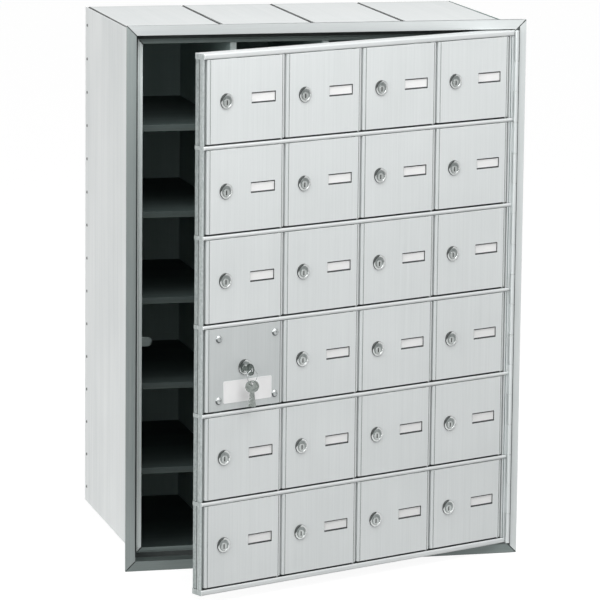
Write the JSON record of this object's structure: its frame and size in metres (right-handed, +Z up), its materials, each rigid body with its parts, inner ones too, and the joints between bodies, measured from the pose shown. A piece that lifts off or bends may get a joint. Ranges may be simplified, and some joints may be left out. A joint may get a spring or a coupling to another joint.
{
  "type": "horizontal mailbox",
  "caption": "Recessed bank of mail compartments in a trim frame, with a hinged master door of small locking doors with name cards.",
  "frame": {"origin": "middle of the bottom edge of the trim flange, on its rear face, which lies against the wall", "axes": "+X to the right as seen from the front, +Y back into the wall recess, +Z up; the master door rests open by 23.5 degrees"},
  "size_m": [0.66, 0.6468, 0.885],
  "materials": {
    "frame_aluminium": "brushed, clear anodised",
    "cabinet_sheet": "mill finish sheet",
    "compartment_sheet": "dull grey sheet",
    "rivet_steel": "dull dark heads",
    "hinge_steel": "satin",
    "door_rail_aluminium": "brushed, clear anodised",
    "door_face_aluminium": "vertical brushed grain",
    "lock_panel_aluminium": "satin, vertical grain",
    "lock_chrome": "polished plating",
    "key_steel": "nickel plated, worn"
  },
  "bodies": {
    "cabinet": {"trim_frame_rails": "frame_aluminium", "side_panels": "cabinet_sheet", "roof_floor_and_back_sheets": "cabinet_sheet", "column_partitions": "compartment_sheet", "shelves": "compartment_sheet", "cabinet_rivets": "rivet_steel", "main_hinge_fixed_leaf": "hinge_steel"},
    "master_door": {"door_rails": "door_rail_aluminium", "door_uprights": "door_rail_aluminium", "main_hinge_door_leaf": "hinge_steel", "tenant_hinge_pins": "hinge_steel", "lock_panel_set": "lock_panel_aluminium"},
    "master_lock": {"master_lock_core": "key_steel"},
    "key_ring": {"hanging_keys": "key_steel"},
    "door_r1c1": {"tenant_door_r1c1": "door_face_aluminium"},
    "lock_r1c1": {"tenant_lock_r1c1": "lock_chrome"},
    "door_r1c2": {"tenant_door_r1c2": "door_face_aluminium"},
    "lock_r1c2": {"tenant_lock_r1c2": "lock_chrome"},
    "door_r1c3": {"tenant_door_r1c3": "door_face_aluminium"},
    "lock_r1c3": {"tenant_lock_r1c3": "lock_chrome"},
    "door_r1c4": {"tenant_door_r1c4": "door_face_aluminium"},
    "lock_r1c4": {"tenant_lock_r1c4": "lock_chrome"},
    "door_r2c1": {"tenant_door_r2c1": "door_face_aluminium"},
    "lock_r2c1": {"tenant_lock_r2c1": "lock_chrome"},
    "door_r2c2": {"tenant_door_r2c2": "door_face_aluminium"},
    "lock_r2c2": {"tenant_lock_r2c2": "lock_chrome"},
    "door_r2c3": {"tenant_door_r2c3": "door_face_aluminium"},
    "lock_r2c3": {"tenant_lock_r2c3": "lock_chrome"},
    "door_r2c4": {"tenant_door_r2c4": "door_face_aluminium"},
    "lock_r2c4": {"tenant_lock_r2c4": "lock_chrome"},
    "door_r3c1": {"tenant_door_r3c1": "door_face_aluminium"},
    "lock_r3c1": {"tenant_lock_r3c1": "lock_chrome"},
    "door_r3c2": {"tenant_door_r3c2": "door_face_aluminium"},
    "lock_r3c2": {"tenant_lock_r3c2": "lock_chrome"},
    "door_r3c3": {"tenant_door_r3c3": "door_face_aluminium"},
    "lock_r3c3": {"tenant_lock_r3c3": "lock_chrome"},
    "door_r3c4": {"tenant_door_r3c4": "door_face_aluminium"},
    "lock_r3c4": {"tenant_lock_r3c4": "lock_chrome"},
    "door_r4c2": {"tenant_door_r4c2": "door_face_aluminium"},
    "lock_r4c2": {"tenant_lock_r4c2": "lock_chrome"},
    "door_r4c3": {"tenant_door_r4c3": "door_face_aluminium"},
    "lock_r4c3": {"tenant_lock_r4c3": "lock_chrome"},
    "door_r4c4": {"tenant_door_r4c4": "door_face_aluminium"},
    "lock_r4c4": {"tenant_lock_r4c4": "lock_chrome"},
    "door_r5c1": {"tenant_door_r5c1": "door_face_aluminium"},
    "lock_r5c1": {"tenant_lock_r5c1": "lock_chrome"},
    "door_r5c2": {"tenant_door_r5c2": "door_face_aluminium"},
    "lock_r5c2": {"tenant_lock_r5c2": "lock_chrome"},
    "door_r5c3": {"tenant_door_r5c3": "door_face_aluminium"},
    "lock_r5c3": {"tenant_lock_r5c3": "lock_chrome"},
    "door_r5c4": {"tenant_door_r5c4": "door_face_aluminium"},
    "lock_r5c4": {"tenant_lock_r5c4": "lock_chrome"},
    "door_r6c1": {"tenant_door_r6c1": "door_face_aluminium"},
    "lock_r6c1": {"tenant_lock_r6c1": "lock_chrome"},
    "door_r6c2": {"tenant_door_r6c2": "door_face_aluminium"},
    "lock_r6c2": {"tenant_lock_r6c2": "lock_chrome"},
    "door_r6c3": {"tenant_door_r6c3": "door_face_aluminium"},
    "lock_r6c3": {"tenant_lock_r6c3": "lock_chrome"},
    "door_r6c4": {"tenant_door_r6c4": "door_face_aluminium"},
    "lock_r6c4": {"tenant_lock_r6c4": "lock_chrome"}
  },
  "joints": [
    {"name": "master_door_hinge", "type": "hinge", "parent": "cabinet", "child": "master_door", "pos_m": [0.313, -0.0075, 0.4425], "axis": [0, 0, 1], "range_deg": [-23.5, 71.5]},
    {"name": "master_lock_turn", "type": "hinge", "parent": "master_door", "child": "master_lock", "pos_m": [-0.18703, -0.22001, 0.3712], "axis": [-0.3987, 0.9171, 0], "range_deg": [0, 90]},
    {"name": "key_ring_swing", "type": "hinge", "parent": "master_lock", "child": "key_ring", "pos_m": [-0.17914, -0.23817, 0.3712], "axis": [-0.3987, 0.9171, 0], "range_deg": [-50, 0]},
    {"name": "door_r1c1_hinge", "type": "hinge", "parent": "master_door", "child": "door_r1c1", "pos_m": [-0.12356, -0.18805, 0.7927], "axis": [0, 0, 1], "range_deg": [0, 90]},
    {"name": "lock_r1c1_turn", "type": "hinge", "parent": "door_r1c1", "child": "lock_r1c1", "pos_m": [-0.22271, -0.23553, 0.7903], "axis": [-0.3987, 0.9171, 0], "range_deg": [0, 90]},
    {"name": "door_r1c2_hinge", "type": "hinge", "parent": "master_door", "child": "door_r1c2", "pos_m": [0.0162, -0.12729, 0.7927], "axis": [0, 0, 1], "range_deg": [0, 90]},
    {"name": "lock_r1c2_turn", "type": "hinge", "parent": "door_r1c2", "child": "lock_r1c2", "pos_m": [-0.08295, -0.17476, 0.7903], "axis": [-0.3987, 0.9171, 0], "range_deg": [0, 90]},
    {"name": "door_r1c3_hinge", "type": "hinge", "parent": "master_door", "child": "door_r1c3", "pos_m": [0.15596, -0.06652, 0.7927], "axis": [0, 0, 1], "range_deg": [0, 90]},
    {"name": "lock_r1c3_turn", "type": "hinge", "parent": "door_r1c3", "child": "lock_r1c3", "pos_m": [0.05681, -0.11399, 0.7903], "axis": [-0.3987, 0.9171, 0], "range_deg": [0, 90]},
    {"name": "door_r1c4_hinge", "type": "hinge", "parent": "master_door", "child": "door_r1c4", "pos_m": [0.29572, -0.00575, 0.7927], "axis": [0, 0, 1], "range_deg": [0, 90]},
    {"name": "lock_r1c4_turn", "type": "hinge", "parent": "door_r1c4", "child": "lock_r1c4", "pos_m": [0.19657, -0.05322, 0.7903], "axis": [-0.3987, 0.9171, 0], "range_deg": [0, 90]},
    {"name": "door_r2c1_hinge", "type": "hinge", "parent": "master_door", "child": "door_r2c1", "pos_m": [-0.12356, -0.18805, 0.653], "axis": [0, 0, 1], "range_deg": [0, 90]},
    {"name": "lock_r2c1_turn", "type": "hinge", "parent": "door_r2c1", "child": "lock_r2c1", "pos_m": [-0.22271, -0.23553, 0.6506], "axis": [-0.3987, 0.9171, 0], "range_deg": [0, 90]},
    {"name": "door_r2c2_hinge", "type": "hinge", "parent": "master_door", "child": "door_r2c2", "pos_m": [0.0162, -0.12729, 0.653], "axis": [0, 0, 1], "range_deg": [0, 90]},
    {"name": "lock_r2c2_turn", "type": "hinge", "parent": "door_r2c2", "child": "lock_r2c2", "pos_m": [-0.08295, -0.17476, 0.6506], "axis": [-0.3987, 0.9171, 0], "range_deg": [0, 90]},
    {"name": "door_r2c3_hinge", "type": "hinge", "parent": "master_door", "child": "door_r2c3", "pos_m": [0.15596, -0.06652, 0.653], "axis": [0, 0, 1], "range_deg": [0, 90]},
    {"name": "lock_r2c3_turn", "type": "hinge", "parent": "door_r2c3", "child": "lock_r2c3", "pos_m": [0.05681, -0.11399, 0.6506], "axis": [-0.3987, 0.9171, 0], "range_deg": [0, 90]},
    {"name": "door_r2c4_hinge", "type": "hinge", "parent": "master_door", "child": "door_r2c4", "pos_m": [0.29572, -0.00575, 0.653], "axis": [0, 0, 1], "range_deg": [0, 90]},
    {"name": "lock_r2c4_turn", "type": "hinge", "parent": "door_r2c4", "child": "lock_r2c4", "pos_m": [0.19657, -0.05322, 0.6506], "axis": [-0.3987, 0.9171, 0], "range_deg": [0, 90]},
    {"name": "door_r3c1_hinge", "type": "hinge", "parent": "master_door", "child": "door_r3c1", "pos_m": [-0.12356, -0.18805, 0.5133], "axis": [0, 0, 1], "range_deg": [0, 90]},
    {"name": "lock_r3c1_turn", "type": "hinge", "parent": "door_r3c1", "child": "lock_r3c1", "pos_m": [-0.22271, -0.23553, 0.5109], "axis": [-0.3987, 0.9171, 0], "range_deg": [0, 90]},
    {"name": "door_r3c2_hinge", "type": "hinge", "parent": "master_door", "child": "door_r3c2", "pos_m": [0.0162, -0.12729, 0.5133], "axis": [0, 0, 1], "range_deg": [0, 90]},
    {"name": "lock_r3c2_turn", "type": "hinge", "parent": "door_r3c2", "child": "lock_r3c2", "pos_m": [-0.08295, -0.17476, 0.5109], "axis": [-0.3987, 0.9171, 0], "range_deg": [0, 90]},
    {"name": "door_r3c3_hinge", "type": "hinge", "parent": "master_door", "child": "door_r3c3", "pos_m": [0.15596, -0.06652, 0.5133], "axis": [0, 0, 1], "range_deg": [0, 90]},
    {"name": "lock_r3c3_turn", "type": "hinge", "parent": "door_r3c3", "child": "lock_r3c3", "pos_m": [0.05681, -0.11399, 0.5109], "axis": [-0.3987, 0.9171, 0], "range_deg": [0, 90]},
    {"name": "door_r3c4_hinge", "type": "hinge", "parent": "master_door", "child": "door_r3c4", "pos_m": [0.29572, -0.00575, 0.5133], "axis": [0, 0, 1], "range_deg": [0, 90]},
    {"name": "lock_r3c4_turn", "type": "hinge", "parent": "door_r3c4", "child": "lock_r3c4", "pos_m": [0.19657, -0.05322, 0.5109], "axis": [-0.3987, 0.9171, 0], "range_deg": [0, 90]},
    {"name": "door_r4c2_hinge", "type": "hinge", "parent": "master_door", "child": "door_r4c2", "pos_m": [0.0162, -0.12729, 0.3736], "axis": [0, 0, 1], "range_deg": [0, 90]},
    {"name": "lock_r4c2_turn", "type": "hinge", "parent": "door_r4c2", "child": "lock_r4c2", "pos_m": [-0.08295, -0.17476, 0.3712], "axis": [-0.3987, 0.9171, 0], "range_deg": [0, 90]},
    {"name": "door_r4c3_hinge", "type": "hinge", "parent": "master_door", "child": "door_r4c3", "pos_m": [0.15596, -0.06652, 0.3736], "axis": [0, 0, 1], "range_deg": [0, 90]},
    {"name": "lock_r4c3_turn", "type": "hinge", "parent": "door_r4c3", "child": "lock_r4c3", "pos_m": [0.05681, -0.11399, 0.3712], "axis": [-0.3987, 0.9171, 0], "range_deg": [0, 90]},
    {"name": "door_r4c4_hinge", "type": "hinge", "parent": "master_door", "child": "door_r4c4", "pos_m": [0.29572, -0.00575, 0.3736], "axis": [0, 0, 1], "range_deg": [0, 90]},
    {"name": "lock_r4c4_turn", "type": "hinge", "parent": "door_r4c4", "child": "lock_r4c4", "pos_m": [0.19657, -0.05322, 0.3712], "axis": [-0.3987, 0.9171, 0], "range_deg": [0, 90]},
    {"name": "door_r5c1_hinge", "type": "hinge", "parent": "master_door", "child": "door_r5c1", "pos_m": [-0.12356, -0.18805, 0.2339], "axis": [0, 0, 1], "range_deg": [0, 90]},
    {"name": "lock_r5c1_turn", "type": "hinge", "parent": "door_r5c1", "child": "lock_r5c1", "pos_m": [-0.22271, -0.23553, 0.2315], "axis": [-0.3987, 0.9171, 0], "range_deg": [0, 90]},
    {"name": "door_r5c2_hinge", "type": "hinge", "parent": "master_door", "child": "door_r5c2", "pos_m": [0.0162, -0.12729, 0.2339], "axis": [0, 0, 1], "range_deg": [0, 90]},
    {"name": "lock_r5c2_turn", "type": "hinge", "parent": "door_r5c2", "child": "lock_r5c2", "pos_m": [-0.08295, -0.17476, 0.2315], "axis": [-0.3987, 0.9171, 0], "range_deg": [0, 90]},
    {"name": "door_r5c3_hinge", "type": "hinge", "parent": "master_door", "child": "door_r5c3", "pos_m": [0.15596, -0.06652, 0.2339], "axis": [0, 0, 1], "range_deg": [0, 90]},
    {"name": "lock_r5c3_turn", "type": "hinge", "parent": "door_r5c3", "child": "lock_r5c3", "pos_m": [0.05681, -0.11399, 0.2315], "axis": [-0.3987, 0.9171, 0], "range_deg": [0, 90]},
    {"name": "door_r5c4_hinge", "type": "hinge", "parent": "master_door", "child": "door_r5c4", "pos_m": [0.29572, -0.00575, 0.2339], "axis": [0, 0, 1], "range_deg": [0, 90]},
    {"name": "lock_r5c4_turn", "type": "hinge", "parent": "door_r5c4", "child": "lock_r5c4", "pos_m": [0.19657, -0.05322, 0.2315], "axis": [-0.3987, 0.9171, 0], "range_deg": [0, 90]},
    {"name": "door_r6c1_hinge", "type": "hinge", "parent": "master_door", "child": "door_r6c1", "pos_m": [-0.12356, -0.18805, 0.0942], "axis": [0, 0, 1], "range_deg": [0, 90]},
    {"name": "lock_r6c1_turn", "type": "hinge", "parent": "door_r6c1", "child": "lock_r6c1", "pos_m": [-0.22271, -0.23553, 0.0918], "axis": [-0.3987, 0.9171, 0], "range_deg": [0, 90]},
    {"name": "door_r6c2_hinge", "type": "hinge", "parent": "master_door", "child": "door_r6c2", "pos_m": [0.0162, -0.12729, 0.0942], "axis": [0, 0, 1], "range_deg": [0, 90]},
    {"name": "lock_r6c2_turn", "type": "hinge", "parent": "door_r6c2", "child": "lock_r6c2", "pos_m": [-0.08295, -0.17476, 0.0918], "axis": [-0.3987, 0.9171, 0], "range_deg": [0, 90]},
    {"name": "door_r6c3_hinge", "type": "hinge", "parent": "master_door", "child": "door_r6c3", "pos_m": [0.15596, -0.06652, 0.0942], "axis": [0, 0, 1], "range_deg": [0, 90]},
    {"name": "lock_r6c3_turn", "type": "hinge", "parent": "door_r6c3", "child": "lock_r6c3", "pos_m": [0.05681, -0.11399, 0.0918], "axis": [-0.3987, 0.9171, 0], "range_deg": [0, 90]},
    {"name": "door_r6c4_hinge", "type": "hinge", "parent": "master_door", "child": "door_r6c4", "pos_m": [0.29572, -0.00575, 0.0942], "axis": [0, 0, 1], "range_deg": [0, 90]},
    {"name": "lock_r6c4_turn", "type": "hinge", "parent": "door_r6c4", "child": "lock_r6c4", "pos_m": [0.19657, -0.05322, 0.0918], "axis": [-0.3987, 0.9171, 0], "range_deg": [0, 90]}
  ],
  "couplings": [
    {"joint": "key_ring_swing", "follows": "master_lock_turn", "ratio": -0.55}
  ]
}
